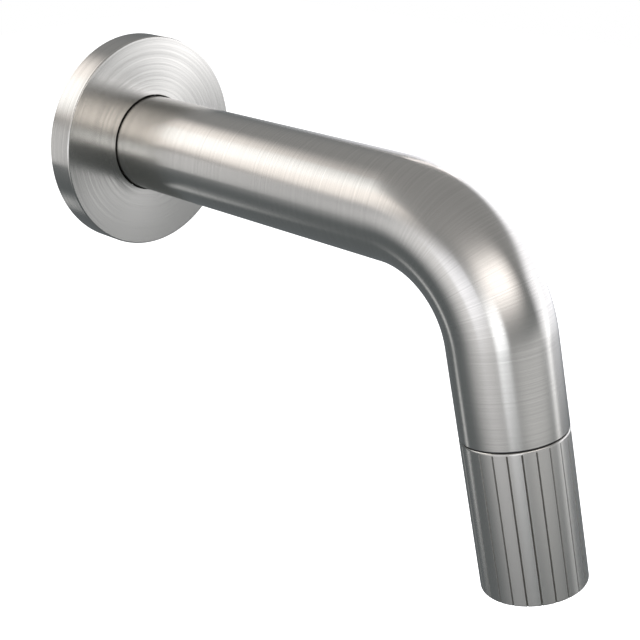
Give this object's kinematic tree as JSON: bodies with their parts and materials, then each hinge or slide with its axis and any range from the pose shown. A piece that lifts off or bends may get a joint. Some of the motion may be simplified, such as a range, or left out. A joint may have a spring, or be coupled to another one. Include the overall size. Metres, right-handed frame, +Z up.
{
  "type": "wall mounted bath faucet",
  "caption": "Wall mounted bath faucet: a bent stainless tube spout from a round wall flange, with a ribbed sleeve at the outlet that turns to open the water.",
  "frame": {"origin": "where the inlet thread meets the wall, on the axis of the tube", "axes": "+Z up; the wall is the plane y = 0; +Y into the wall along the inlet thread; the spout comes out of the wall towards -Y; +X to the right for a user who faces the wall"},
  "size_m": [0.063, 0.1785, 0.1252],
  "materials": {
    "brushed_stainless": "fine brushed, satin",
    "turned_stainless": "as turned",
    "brass": "as turned",
    "spring_steel": "oiled, dark",
    "rubber": "matt moulded",
    "fibre": "pressed vulcanised fibre",
    "black_acetal": "matt moulded",
    "white_acetal": "satin moulded",
    "grey_acetal": "satin moulded",
    "alumina": "lapped"
  },
  "bodies": {
    "spout": {"spout_tube": "brushed_stainless", "inlet_bush": "turned_stainless", "inlet_nipple": "brass", "nipple_o_ring_rear": "rubber", "nipple_o_ring_front": "rubber", "inlet_strainer": "white_acetal", "grub_screw": "spring_steel", "outlet_bush": "turned_stainless", "cartridge_body": "brass", "cartridge_o_ring": "rubber", "disc_seal": "rubber", "fixed_ceramic_disc": "alumina", "slide_ring": "black_acetal"},
    "flange": {"wall_flange": "brushed_stainless", "flange_o_ring": "rubber", "wall_gasket": "rubber"},
    "grip": {"grip_sleeve": "brushed_stainless", "grip_core": "white_acetal", "hollow_spindle": "brass", "spindle_o_ring_upper": "rubber", "spindle_o_ring_lower": "rubber", "moving_ceramic_disc": "alumina", "thrust_washer": "black_acetal", "circlip": "spring_steel", "nut_washer": "fibre", "retaining_nut": "brass", "aerator_washer": "rubber", "aerator_housing": "grey_acetal", "aerator_screen": "white_acetal", "aerator_insert": "white_acetal", "outlet_grille": "grey_acetal"}
  },
  "joints": [
    {"name": "flange_slide", "type": "slide", "parent": "spout", "child": "flange", "axis": [0, -1, 0], "range_m": [0, 0.09]},
    {"name": "grip_turn", "type": "hinge", "parent": "spout", "child": "grip", "pos_m": [0, -0.14153, -0.04974], "axis": [0, -0.225, -0.9744], "range_deg": [0, 90]}
  ]
}
